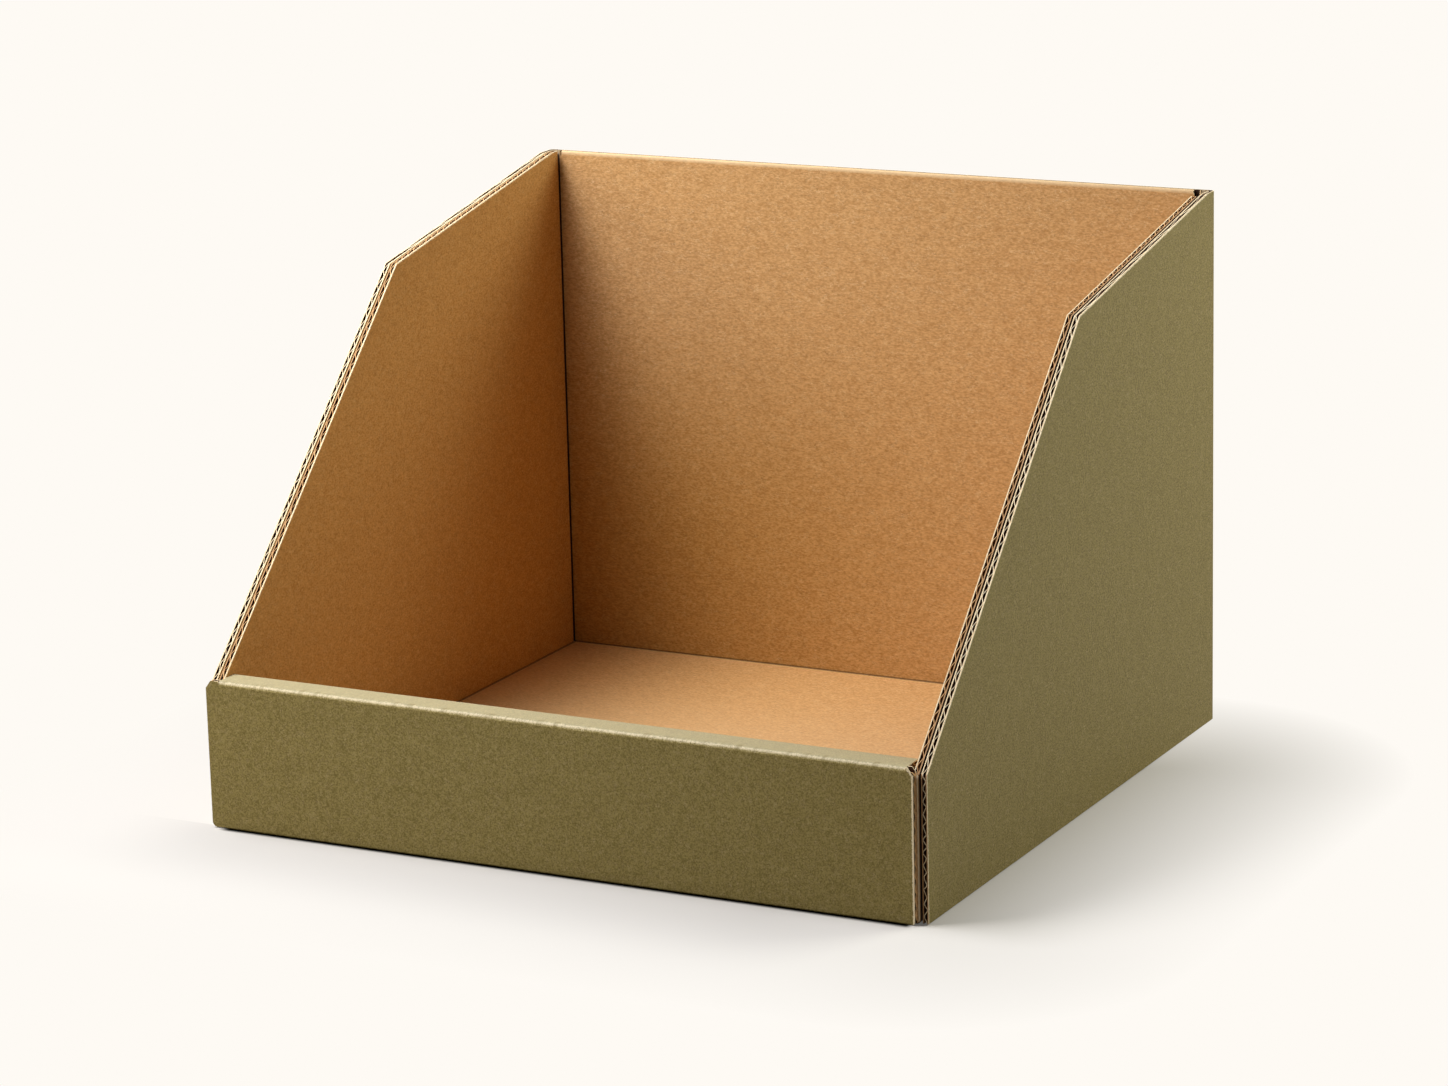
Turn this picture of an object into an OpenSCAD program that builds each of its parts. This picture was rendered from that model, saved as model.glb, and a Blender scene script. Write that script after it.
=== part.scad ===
// Shelf-ready display box: one die-cut sheet of corrugated board, folded and glued.
// The front faces -Y. The origin is the middle of the footprint, on the shelf.

/* [Box] */
// Width over the outer side walls
box_w = 400; // [300:1:600]
// Depth from the front face to the rear face
box_d = 375; // [300:1:500]
// Height of the back
box_h = 290; // [270:1:400]

/* [Board] */
// Thickness of the corrugated board
board_t = 3; // [2.5:0.1:4]
// Thickness of each flat liner
liner_t = 0.45; // [0.3:0.05:0.6]
// Thickness of the fluted medium between the liners
medium_t = 0.4; // [0.3:0.05:0.5]
// Distance from one flute to the next
flute_pitch = 6.35; // [5.5:0.05:8]
// Width of the crest where the medium is glued to a liner
crest_w = 1.2; // [0.8:0.1:1.8]
// How far the open flutes run in from a cut edge
flute_depth = 12; // [6:1:24]
// Outer radius of a fold
fold_r = 2.4; // [1:0.1:2.5]
// Room between a cut edge and the panel it stands against
edge_gap = 0.5; // [0.3:0.1:1]

/* [Side walls] */
// Room between the outer and the inner board of a side wall
ply_gap = 1; // [0.4:0.1:1.5]
// Height of the upright front edge
side_front_h = 74; // [60:1:76]
// Distance of the shoulder from the front face
shoulder_y = 191; // [150:1:230]
// Height of the shoulder
shoulder_h = 258; // [200:1:265]
// Length of the level stretch at the rear top corner
top_flat = 13; // [8:1:30]

/* [Front lip] */
// Height of the front
lip_h = 78; // [76:1:120]
// Depth of the rolled-over lip
lip_d = 16; // [10:1:30]
// Distance from the left outer face to the left end of the front
front_left_in = 0; // [0:0.5:6]
// Distance from the right outer face to the right end of the front
front_right_in = 6; // [0:0.5:6]
// Room between the left side wall and the rolled lip
roll_left_room = 0.5; // [0.3:0.1:4]
// Room between the right side wall and the rolled lip
roll_right_room = 4; // [0.3:0.1:6]
// Width of the cut-off top corners of the front
corner_w = 3; // [1:0.5:4]
// Height of the cut-off top corners of the front
corner_h = 4; // [1:0.5:8]
// Radius of the bottom corners of the front
foot_r = 2.5; // [0.5:0.5:5]

/* [Lock tabs] */
// Width of each tab that locks the lip into the floor
tab_w = 50; // [30:1:80]
// Distance between the middles of the two tabs
tab_pitch = 200; // [120:1:260]
// Room around a tab in its slot
slot_room = 0.4; // [0.2:0.1:1]

/* [Relief notches] */
// Width of the round notch at each end of the back's top edge
notch_w = 4.4; // [3:0.2:6]

/* [Hidden] */
$fn = 48;

board_colour = [0.53, 0.46, 0.29];
cut_past = 1;

// Places across the width, from the middle
outer_x = box_w / 2;
inner_x = outer_x - board_t - ply_gap;
floor_x = inner_x - board_t;
front_x0 = -outer_x + front_left_in;
front_x1 = outer_x - front_right_in;
roll_x0 = -floor_x + roll_left_room;
roll_x1 = floor_x - roll_right_room;

// Places along the depth, from the front face
wall_y = board_t + edge_gap;
back_y = box_d - board_t;
flat_y = box_d - top_flat;

// Half widths of an open flute at its liner and at its crest
flute_wide = (flute_pitch - crest_w) / 2 - medium_t / 2;
flute_tip = crest_w / 2;
half_pitch = flute_pitch / 2;

// Edge of a side wall: its distance from the front at a height, and its height at a distance
function edge_y(z) = lookup(z, [[side_front_h, wall_y], [shoulder_h, shoulder_y], [box_h, flat_y]]);
function edge_z(y) = lookup(y, [[wall_y, side_front_h], [shoulder_y, shoulder_h], [flat_y, box_h]]);

// Middles of the open flutes that fit between two edges of a board
function flute_rows(from, to) = [for (b = [from + half_pitch : half_pitch : to - half_pitch]) b];

// Outline of a side wall from its front edge to rear, standing at foot
function side_outline(foot, rear) = [
    [wall_y, foot], [rear, foot], [rear, box_h], [flat_y, box_h],
    [shoulder_y, shoulder_h], [wall_y, side_front_h]
];

// A flat piece of board, lying on the XY plane with its flutes along X
module board(outline) {
    linear_extrude(board_t) polygon(outline);
}

// One open flute in a flat board, from x0 to x1 at y, wide on its lower or its upper liner
module flute(x0, x1, y, on_upper) {
    crest = board_t - liner_t - medium_t;
    low = on_upper ? board_t - liner_t : liner_t;
    high = on_upper ? board_t - crest : crest;
    translate([x0, y, 0])
        rotate([90, 0, 90])
            linear_extrude(x1 - x0)
                polygon([[-flute_wide, low], [flute_wide, low], [flute_tip, high], [-flute_tip, high]]);
}

// A flat board between x0 and x1 whose flutes open at both of its ends
module open_ended(x0, x1, from, to) {
    rows = flute_rows(from, to);
    difference() {
        children();
        for (i = [0 : len(rows) - 1]) {
            flute(x0 - cut_past, x0 + flute_depth, rows[i], i % 2 == 1);
            flute(x1 - flute_depth, x1 + cut_past, rows[i], i % 2 == 1);
        }
    }
}

// A fold along X: a square of board with its outer edge rounded, at the corner of +Y and +Z
module fold(length) {
    translate([-length / 2, 0, 0])
        rotate([90, 0, 90])
            linear_extrude(length)
                union() {
                    square([board_t, board_t - fold_r]);
                    square([board_t - fold_r, board_t]);
                    translate([board_t - fold_r, board_t - fold_r]) circle(r = fold_r);
                }
}

// Floor with the two slots for the lip's tabs, and the folds along its four edges
module floor_panel() {
    slot_y = lip_d - board_t - slot_room;
    wall_len = back_y - edge_gap - wall_y;
    difference() {
        translate([-floor_x, board_t, 0]) cube([2 * floor_x, back_y - board_t, board_t]);
        for (side = [-1, 1])
            translate([side * tab_pitch / 2 - tab_w / 2 - slot_room, slot_y, -cut_past])
                cube([tab_w + 2 * slot_room, board_t + 2 * slot_room, board_t + 2 * cut_past]);
    }
    translate([0, board_t, board_t]) rotate([180, 0, 0]) fold(2 * floor_x);
    translate([0, back_y, board_t]) mirror([0, 0, 1]) fold(2 * floor_x);
    for (side = [0, 1])
        mirror([side, 0, 0])
            translate([floor_x, wall_y + wall_len / 2, board_t])
                rotate([180, 0, 90])
                    fold(wall_len);
}

// Front, drawn flat with X across the box and Y up it
module front_panel() {
    ends = [
        [front_x0 + foot_r, edge_gap], [front_x1 - foot_r, edge_gap], [front_x1, edge_gap + foot_r],
        [front_x1, lip_h - corner_h], [front_x1 - corner_w, lip_h], [front_x0 + corner_w, lip_h],
        [front_x0, lip_h - corner_h], [front_x0, edge_gap + foot_r]
    ];
    open_ended(front_x0, front_x1, edge_gap + foot_r, lip_h - corner_h)
        difference() {
            union() {
                board(ends);
                for (x = [front_x0 + foot_r, front_x1 - foot_r])
                    translate([x, edge_gap + foot_r, 0]) cylinder(r = foot_r, h = board_t);
            }
            translate([-floor_x, 0, -cut_past]) cube([2 * floor_x, board_t, board_t + 2 * cut_past]);
            translate([roll_x0, lip_h - board_t, -cut_past])
                cube([roll_x1 - roll_x0, board_t + cut_past, board_t + 2 * cut_past]);
        }
}

// Level top of the lip, between its two folds
module lip_top() {
    open_ended(roll_x0, roll_x1, board_t, lip_d - board_t)
        board([[roll_x0, board_t], [roll_x1, board_t], [roll_x1, lip_d - board_t], [roll_x0, lip_d - board_t]]);
}

// Inner side of the lip with its lock tabs, drawn flat with X across the box and Y up it
module lip_back() {
    foot = board_t + edge_gap;
    top = lip_h - board_t;
    open_ended(roll_x0, roll_x1, foot, top)
        board([[roll_x0, foot], [roll_x1, foot], [roll_x1, top], [roll_x0, top]]);
    for (side = [-1, 1])
        translate([side * tab_pitch / 2 - tab_w / 2, edge_gap, 0])
            cube([tab_w, foot, board_t]);
}

// Front, rolled over at the top and locked into the floor behind
module rolled_front() {
    roll_mid = (roll_x0 + roll_x1) / 2;
    roll_w = roll_x1 - roll_x0;
    translate([0, board_t, 0]) rotate([90, 0, 0]) front_panel();
    translate([roll_mid, board_t, lip_h - board_t]) mirror([0, 1, 0]) fold(roll_w);
    translate([0, 0, lip_h - board_t]) lip_top();
    translate([roll_mid, lip_d - board_t, lip_h - board_t]) fold(roll_w);
    translate([0, lip_d, 0]) rotate([90, 0, 0]) lip_back();
}

// Back with a round relief notch at each end of its top edge, and the folds to the outer walls
module back_panel() {
    back_x = outer_x - board_t;
    fold_len = box_h - edge_gap;
    difference() {
        translate([0, box_d, 0])
            rotate([90, 0, 0])
                board([
                    [-back_x, edge_gap], [-floor_x, edge_gap], [-floor_x, board_t], [floor_x, board_t],
                    [floor_x, edge_gap], [back_x, edge_gap], [back_x, box_h], [-back_x, box_h]
                ]);
        for (side = [-1, 1])
            translate([side * floor_x, box_d + cut_past, box_h])
                rotate([90, 0, 0])
                    cylinder(d = notch_w, h = board_t + 2 * cut_past);
    }
    for (side = [0, 1])
        mirror([side, 0, 0])
            translate([back_x, back_y, edge_gap + fold_len / 2])
                rotate([0, -90, 0])
                    mirror([0, 0, 1])
                        fold(fold_len);
}

// Outer side wall, drawn flat with X along the depth and Y up it: its flutes lie level
module outer_wall() {
    rows = flute_rows(edge_gap, box_h);
    difference() {
        board(side_outline(edge_gap, back_y));
        for (i = [0 : len(rows) - 1])
            flute(
                edge_y(rows[i] - flute_wide) - cut_past,
                min(edge_y(rows[i] + flute_wide) + flute_depth, back_y - liner_t),
                rows[i], i % 2 == 1
            );
    }
}

// Inner side wall, drawn flat with X up it and Y along the depth: its flutes stand upright
module inner_wall() {
    rear = back_y - edge_gap;
    rows = flute_rows(wall_y, rear);
    difference() {
        board([for (p = side_outline(board_t, rear)) [p[1], p[0]]]);
        for (i = [0 : len(rows) - 1])
            flute(
                edge_z(rows[i] - flute_wide) - flute_depth,
                edge_z(rows[i] + flute_wide) + cut_past,
                rows[i], i % 2 == 1
            );
    }
}

// Right side wall of two boards
module side_wall() {
    translate([outer_x - board_t, 0, 0]) rotate([90, 0, 90]) outer_wall();
    translate([inner_x, 0, 0]) rotate([0, -90, 0]) inner_wall();
}

// The whole sheet, folded up
module folded_blank() {
    color(board_colour)
        translate([0, -box_d / 2, 0])
            union() {
                floor_panel();
                rolled_front();
                back_panel();
                for (side = [0, 1])
                    mirror([side, 0, 0]) side_wall();
            }
}

folded_blank();
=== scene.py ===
"""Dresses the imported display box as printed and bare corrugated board, in a small pale studio.

The sheet is folded up twice, once as the printed outer liner and once as the bare inner liner, and
the fluted paper between the two shows at every cut edge.
"""

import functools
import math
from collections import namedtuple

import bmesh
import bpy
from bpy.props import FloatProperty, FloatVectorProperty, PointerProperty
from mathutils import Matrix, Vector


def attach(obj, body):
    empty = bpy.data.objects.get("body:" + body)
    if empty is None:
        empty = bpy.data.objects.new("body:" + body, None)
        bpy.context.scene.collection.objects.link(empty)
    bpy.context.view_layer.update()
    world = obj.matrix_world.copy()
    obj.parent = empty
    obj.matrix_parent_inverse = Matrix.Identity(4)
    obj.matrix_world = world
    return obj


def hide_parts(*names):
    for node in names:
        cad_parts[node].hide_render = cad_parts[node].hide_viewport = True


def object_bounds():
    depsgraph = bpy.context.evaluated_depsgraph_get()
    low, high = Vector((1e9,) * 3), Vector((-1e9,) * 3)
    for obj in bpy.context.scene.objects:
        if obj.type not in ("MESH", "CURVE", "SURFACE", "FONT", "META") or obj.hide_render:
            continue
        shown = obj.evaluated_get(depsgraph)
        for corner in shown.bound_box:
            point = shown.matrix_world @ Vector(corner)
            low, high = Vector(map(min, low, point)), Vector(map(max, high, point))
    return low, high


bl_info = {
    "name": "Shelf-ready display box",
    "version": (1, 0, 0),
    "blender": (4, 5, 0),
    "location": "View3D > Sidebar > Display Box",
    "description": "Folds the printed and bare liners and the flutes of a corrugated display box",
    "category": "Add Mesh",
}

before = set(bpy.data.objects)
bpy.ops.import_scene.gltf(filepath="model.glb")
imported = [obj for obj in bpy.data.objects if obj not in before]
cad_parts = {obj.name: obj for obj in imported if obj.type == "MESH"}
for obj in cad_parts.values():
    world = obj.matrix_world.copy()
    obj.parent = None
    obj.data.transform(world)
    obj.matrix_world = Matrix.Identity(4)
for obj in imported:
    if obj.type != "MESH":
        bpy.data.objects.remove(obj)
CAD_LOW, CAD_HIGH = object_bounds()

BODY = "root"
BLANK_NODE = "folded_blank"
MM = 0.001
X = Vector((1, 0, 0))
Y = Vector((0, 1, 0))
Z = Vector((0, 0, 1))
AXES = (X, Y, Z)

# Lengths up to this count as the same
NEAR = 0.01 * MM
# Width of the step where a panel reaches past its fold
RELIEF = 0.5 * MM
# How far the studio floor lies under the box
FLOOR_DROP = 0.1 * MM
# Number of parts in a fold, in a notch and along the lip's front fold
FOLD_PARTS = 8
NOTCH_PARTS = 8
LIP_CUTS = 120
# Folds up to this angle are shaded smooth
SMOOTH_ANGLE = math.radians(35)
# A face whose normal has this share along an axis faces that way
FACING = 0.7
# Sockets of the colour mix
MIX_A, MIX_B, MIX_RESULT = 6, 7, 2


# Properties

def length(name, default, text):
    """A length that a user may change, in metres."""
    return FloatProperty(name=name, description=text, default=default, unit="LENGTH", precision=5)


def angle(name, degrees, text):
    """An angle that a user may change, given in degrees."""
    return FloatProperty(name=name, description=text, default=math.radians(degrees), subtype="ANGLE")


def power(name, watts, text):
    """A light's power that a user may change."""
    return FloatProperty(name=name, description=text, default=watts, unit="POWER")


def colour(name, red, green, blue, text):
    """A colour that a user may change, given as screen values from 0 to 255."""
    return FloatVectorProperty(
        name=name, description=text, default=[linear(c) for c in (red, green, blue)],
        subtype="COLOR", size=3, min=0, max=1,
    )


def linear(value):
    """A screen value from 0 to 255 as linear light."""
    share = value / 255
    return share / 12.92 if share <= 0.04045 else ((share + 0.055) / 1.055) ** 2.4


class BoardSizes(bpy.types.PropertyGroup):
    """Sizes of the corrugated board and of its folds."""

    board: length("Board", 3 * MM, "Thickness of the board")
    liner: length("Liner", 0.6 * MM, "Thickness of each flat liner")
    medium: length("Medium", 0.42 * MM, "Thickness of the fluted paper")
    front_medium: length("Front medium", 0.9 * MM, "Thickness of the fluted paper in the crushed front")
    pitch: length("Flute pitch", 6.35 * MM, "Distance from one flute to the next")
    crest: length("Flute crest", 0.9 * MM, "Width of a flute's crest before it is rounded")
    crest_round: length("Crest rounding", 0.5 * MM, "How far a crest's rounding reaches")
    fold: length("Outer fold", 2.4 * MM, "Outer radius of a fold")
    foot_fold: length("Foot fold", 1 * MM, "Outer radius of the fold at the front's foot")
    crease: length("Inner fold", 0.4 * MM, "Inner radius of a fold")
    gap: length("Edge gap", 0.5 * MM, "Room between a cut edge and the panel beside it")
    ply_gap: length("Wall gap", 1 * MM, "Room between the two boards of a side wall")
    rear_gap: length("Rear gap", 2.2 * MM, "Room between an inner side wall and the back")
    shrink: length("Flute shrink", 0.05 * MM, "How far the flutes stay behind a cut edge")
    uneven: length("Uneven flutes", 0.3 * MM, "How far a flute's crest strays from its even place")


class BoxSizes(bpy.types.PropertyGroup):
    """Sizes of the box's panels."""

    side_front: length("Side front", 74 * MM, "Height of a side wall's upright front edge")
    shoulder_in: length("Shoulder distance", 191 * MM, "Distance of the shoulder from the front face")
    shoulder: length("Shoulder height", 258 * MM, "Height of the shoulder")
    top_flat: length("Top flat", 13 * MM, "Level stretch at the rear top corner")
    lip: length("Lip height", 78 * MM, "Height of the front")
    lip_depth: length("Lip depth", 16 * MM, "Depth of the rolled-over lip")
    front_left: length("Front left inset", 0, "From the left outer face to the left end of the front")
    front_right: length("Front right inset", 4 * MM, "From the right outer face to the front's right end")
    roll_left: length("Lip left room", 0.5 * MM, "Room between the left side wall and the lip")
    roll_right: length("Lip right room", 2.4 * MM, "Room between the right side wall and the lip")
    front_step: length("Front end step", 1.6 * MM, "How far the print stops short of the front's right end")
    corner_w: length("Corner width", 3 * MM, "Width of the front's cut-off top corners")
    corner_h: length("Corner height", 4 * MM, "Height of the front's cut-off top corners")
    foot: length("Foot radius", 2.5 * MM, "Radius of the front's bottom corners")
    tab: length("Tab width", 50 * MM, "Width of each lock tab")
    tab_pitch: length("Tab pitch", 200 * MM, "Distance between the two lock tabs")
    slot_room: length("Slot room", 0.4 * MM, "Room around a tab in its slot")
    lip_fold: length("Lip rear fold", 1.2 * MM, "Outer radius of the lip's rear fold")
    notch_left: length("Left notch", 1.2 * MM, "Width of the relief notch at the back's left end")
    notch_right: length("Right notch", 5.2 * MM, "Width of the relief notch at the back's right end")
    notch_past: length("Right notch reach", 0.8 * MM, "How far the right notch reaches behind the side wall")
    rear_cut_l: length("Rear corner length", 13 * MM, "Length of the right inner wall's cut-off rear corner")
    rear_cut_h: length("Rear corner height", 6 * MM, "Height of the right inner wall's cut-off rear corner")
    notch_depth: length("Notch depth", 4.2 * MM, "Depth of the relief notches")
    top_roll: length("Top roll", 1.2 * MM, "Outer radius of the bare liner's roll over the back's top edge")
    dent: length("Fold dents", 0.25 * MM, "Depth of the dents along the lip's front fold")
    dent_size: length("Dent size", 6 * MM, "Size of the dents along the lip's front fold")


class BoardColours(bpy.types.PropertyGroup):
    """Colours of the board, and of the painted sheen, light and shade on it."""

    print_dark: colour("Print dark", 114, 98, 45, "Dark parts of the green print")
    print_light: colour("Print light", 161, 142, 83, "Light parts of the green print")
    # Pale print on the lip's top: rubbed print with a painted sheen
    print_worn_and_sheen: colour("Worn print and sheen", 199, 190, 163, "Print rubbed pale, with painted sheen, on top of the lip")
    kraft_dark: colour("Kraft dark", 176, 130, 76, "Dark parts of the bare inside")
    kraft_light: colour("Kraft light", 209, 163, 107, "Light parts of the bare inside")
    # Painted light that lifts the shade on the floor's rear left
    kraft_painted_light: colour("Kraft painted light", 96, 70, 26, "Painted light added to the floor towards its rear left")
    # Painted light and sheen on the floor towards the front
    kraft_painted_sheen: colour("Kraft painted sheen", 206, 177, 138, "The bare floor, with painted light and sheen towards the front")
    # Painted shade on the bare inside: the left wall, and the back's left and low parts
    kraft_painted_shade: colour("Kraft painted shade", 226, 207, 118, "Painted shade on the bare inside, browner left and low")
    fibre_dark: colour("Dark fibres", 92, 66, 34, "Dark fibres in the paper")
    fibre_light: colour("Light fibres", 240, 212, 166, "Light fibres in the paper")
    cut_dark: colour("Cut edge dark", 230, 194, 144, "Dark parts of a liner's cut edge")
    cut_light: colour("Cut edge light", 252, 232, 192, "Light parts of a liner's cut edge")
    # The fluted paper, painted dark as the shade inside the flutes; the liners' inner faces take it too
    flute_shade_dark: colour("Flute dark", 48, 25, 9, "Dark parts of the fluted paper")
    flute_shade_light: colour("Flute light", 86, 49, 22, "Light parts of the fluted paper")
    # The inner boards' fluted paper, painted dark as the shade inside their flutes
    inner_flute_shade_dark: colour("Inner flute dark", 104, 58, 30, "The same in the floor and the inner walls")
    inner_flute_shade_light: colour("Inner flute light", 146, 88, 48, "The same, light parts")
    wave_dark: colour("Flute edge dark", 234, 198, 150, "Dark parts of the fluted paper's cut edge")
    wave_light: colour("Flute edge light", 255, 240, 204, "Light parts of the fluted paper's cut edge")
    inner_wave_dark: colour("Inner flute edge dark", 190, 132, 78, "The same in inner walls and front")
    inner_wave_light: colour("Inner flute edge light", 240, 192, 132, "The same, light parts")
    # Painted shade on the fluted paper in the inner walls' front edges
    web_shade: colour("Shaded web edge", 156, 110, 70, "Fluted paper in the inner walls' front edges")
    # Painted shade on the side walls' upright cut edges, and on the cut edges beside the gap
    upright: colour("Shaded upright edge", 190, 146, 100, "Upright cut edges, and those beside the gap")
    # Painted deep shade: the gap between the wall boards, the floor's creases, behind the inner walls, the
    # notches and the lip's hollow
    deep_shade: colour("Deep shade", 44, 26, 12, "Painted shade in gaps, creases, notches and inside the lip")


class StudioSettings(bpy.types.PropertyGroup):
    """Camera, light and floor of the studio."""

    azimuth: angle("Azimuth", 27.35, "How far the camera stands round to the right")
    elevation: angle("Elevation", 14.33, "How far the camera looks down")
    roll: angle("Roll", 1.40, "How far the camera leans to the right")
    distance: length("Distance", 2.401, "From the camera to its target")
    target: FloatVectorProperty(
        name="Target", description="Point that the camera looks at",
        default=(0.0098, -0.0175, 0.1291), subtype="XYZ", unit="LENGTH",
    )
    lens: FloatProperty(
        name="Lens", description="Focal length in millimetres on a 36 mm wide sensor",
        default=115.83, min=20, max=300,
    )
    key_power: power("Key", 15, "Power of the key light")
    front_power: power("Front", 4.15, "Power of the front light")
    side_power: power("Side", 13.2, "Power of the side light")
    sky: FloatProperty(name="Sky", description="Strength of the light from all round", default=0.04)
    paper: colour("Floor", 254, 250, 244, "Colour of the floor and the background")
    shaded: colour("Floor near the box", 213, 206, 196, "Colour of the floor where it takes the shadow")
    bounce: colour("Floor bounce", 147, 143, 137, "Colour of the light that the floor throws back")
    floor_size: length("Floor size", 24, "Length of the floor's sides")


# Modelling

def start(name, add, middle, size):
    """Adds a primitive of a size at its place, as the one selected object, and opens it for editing."""
    bpy.ops.object.select_all(action="DESELECT")
    add(size=1)
    piece = bpy.context.active_object
    piece.name = name
    piece.data.name = name
    bpy.ops.object.mode_set(mode="EDIT")
    bpy.ops.transform.resize(value=size)
    move(middle)
    return piece


def finish_edit():
    """Closes the piece that is open for editing."""
    bpy.ops.object.mode_set(mode="OBJECT")


def pick(piece, kind, test):
    """Selects the vertices, edges or faces of which every corner passes the test."""
    bpy.ops.mesh.select_mode(type=kind)
    bpy.ops.mesh.select_all(action="DESELECT")
    mesh = bmesh.from_edit_mesh(piece.data)
    found = 0
    for part in {"VERT": mesh.verts, "EDGE": mesh.edges, "FACE": mesh.faces}[kind]:
        corners = [part] if kind == "VERT" else part.verts
        if all(test(corner.co) for corner in corners):
            part.select_set(True)
            found += 1
    if not found:
        raise RuntimeError(f"{piece.name}: nothing to select among its {kind.lower()} parts")
    mesh.select_flush_mode()
    bmesh.update_edit_mesh(piece.data)


def near(a, b):
    """Whether two lengths are the same."""
    return abs(a - b) < NEAR


def within(value, low, high):
    """Whether a length lies between two others or is the same as one of them."""
    return low - NEAR < value < high + NEAR


def move(step):
    """Moves what is selected."""
    bpy.ops.transform.translate(value=step)


def extrude(*steps):
    """Extrudes the selected edges along the steps, one after another."""
    for step in steps:
        bpy.ops.mesh.extrude_edges_move(TRANSFORM_OT_translate={"value": step})


def bend(along, towards, radius):
    """Steps of a quarter turn from one direction into another."""
    points = [
        along * radius * math.sin(turn) + towards * radius * (1 - math.cos(turn))
        for turn in (math.pi / 2 * i / FOLD_PARTS for i in range(FOLD_PARTS + 1))
    ]
    return [b - a for a, b in zip(points, points[1:])]


def cut(place, normal, drop=False):
    """Cuts the selected faces with a plane, and drops what lies in front of it if asked."""
    bpy.ops.mesh.bisect(plane_co=place, plane_no=normal, clear_outer=drop, threshold=0.001 * MM)


def cut_all(place, normal, drop=False):
    """Cuts the whole piece with a plane."""
    bpy.ops.mesh.select_all(action="SELECT")
    cut(place, normal, drop)


def cut_faces(piece, test, place, normal, drop=False):
    """Cuts the faces of which every corner passes the test."""
    pick(piece, "FACE", test)
    cut(place, normal, drop)


def drop_faces(piece, *tests):
    """Takes the faces away of which every corner passes one of the tests."""
    for test in tests:
        pick(piece, "FACE", test)
        bpy.ops.mesh.delete(type="FACE")


def apply_modifier(piece, kind, **settings):
    """Adds a modifier with its settings and applies it."""
    modifier = piece.modifiers.new(kind.lower(), kind)
    for name, value in settings.items():
        setattr(modifier, name, value)
    bpy.ops.object.modifier_apply(modifier=modifier.name)


def thicken(piece, thickness, side, inner_material=0):
    """Gives a sheet its thickness, with the second material on its cut edges."""
    apply_modifier(
        piece, "SOLIDIFY", thickness=thickness, offset=side, material_offset=inner_material,
        material_offset_rim=1,
    )


def join(pieces):
    """Makes one piece of several."""
    for piece in pieces:
        piece.select_set(True)
    bpy.context.view_layer.objects.active = pieces[0]
    bpy.ops.object.join()
    return pieces[0]


def close_piece(piece):
    """Smooths a piece's folds and puts it in the frame."""
    bpy.ops.object.shade_smooth_by_angle(angle=SMOOTH_ANGLE)
    apply_modifier(piece, "WEIGHTED_NORMAL", keep_sharp=True, weight=100)
    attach(piece, BODY)
    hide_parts(BLANK_NODE)


def paint(piece, *names):
    """Gives a piece its materials by their names."""
    made = board_materials(bpy.context.scene)
    for name in names:
        piece.data.materials.append(made[name])


class Places:
    """Where the panels of the sheet lie at a depth inside the board's outer face."""

    def __init__(self, scene, depth, radius):
        board = scene.board_sizes
        box = scene.box_sizes
        self.depth = depth
        self.radius = radius
        self.foot_radius = min(radius, board.foot_fold)
        self.front_y = CAD_LOW.y + depth
        self.back_y = CAD_HIGH.y - depth
        self.top_z = CAD_HIGH.z
        self.outer_x = CAD_HIGH.x - depth
        self.inner_x = CAD_HIGH.x - board.board - board.ply_gap - depth
        self.hinge_x = CAD_HIGH.x - 2 * board.board - board.ply_gap - board.gap
        face_x = self.hinge_x + board.gap
        notch_end = face_x + box.notch_past
        self.notches = (
            (-face_x, -face_x + box.notch_left),
            (notch_end - box.notch_right, notch_end),
        )
        self.wall_y = CAD_LOW.y + board.board + board.gap
        self.fold_end_y = CAD_HIGH.y - board.board - board.gap
        self.rear_y = CAD_HIGH.y - board.board - board.rear_gap
        self.rear_corner = (
            Vector((0, self.rear_y - box.rear_cut_l, CAD_HIGH.z)),
            Vector((0, box.rear_cut_h, box.rear_cut_l)).normalized(),
        )
        self.foot_z = board.gap
        self.lip_radius = min(radius, box.lip_fold)
        self.lip_z = box.lip - depth
        self.lip_y = CAD_LOW.y + box.lip_depth - depth
        self.lip_foot_z = board.board + board.gap
        step = box.front_step * (1 - depth / board.board)
        self.end_x = (CAD_LOW.x + box.front_left, CAD_HIGH.x - box.front_right - step)
        self.roll_x = (-face_x + box.roll_left, face_x - box.roll_right)
        self.slot_y = CAD_LOW.y + box.lip_depth - board.board - box.slot_room
        shoulder = Vector((0, CAD_LOW.y + box.shoulder_in, box.shoulder))
        steep = shoulder - Vector((0, self.wall_y, box.side_front))
        shallow = Vector((0, CAD_HIGH.y - box.top_flat, CAD_HIGH.z)) - shoulder
        self.slopes = [(shoulder, X.cross(way).normalized()) for way in (steep, shallow)]
        self.corners = [
            (
                Vector((x, 0, box.lip - box.corner_h)),
                Vector((side * box.corner_h, 0, box.corner_w)).normalized(),
            )
            for x, side in zip(self.end_x, (-1, 1))
        ]


def free_corners(piece, at):
    """Cuts the floor's corners free, so that each of its edges can fold."""
    for place, normal in (
        (X * at.hinge_x, X), (X * -at.hinge_x, X), (Y * at.wall_y, Y), (Y * at.fold_end_y, Y),
    ):
        cut_all(place, normal)
    for test in (lambda p: p.y < at.wall_y + NEAR, lambda p: p.y > at.fold_end_y - NEAR):
        for side in (-1, 1):
            drop_faces(piece, lambda p: side * p.x > at.hinge_x - NEAR and test(p))


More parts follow.
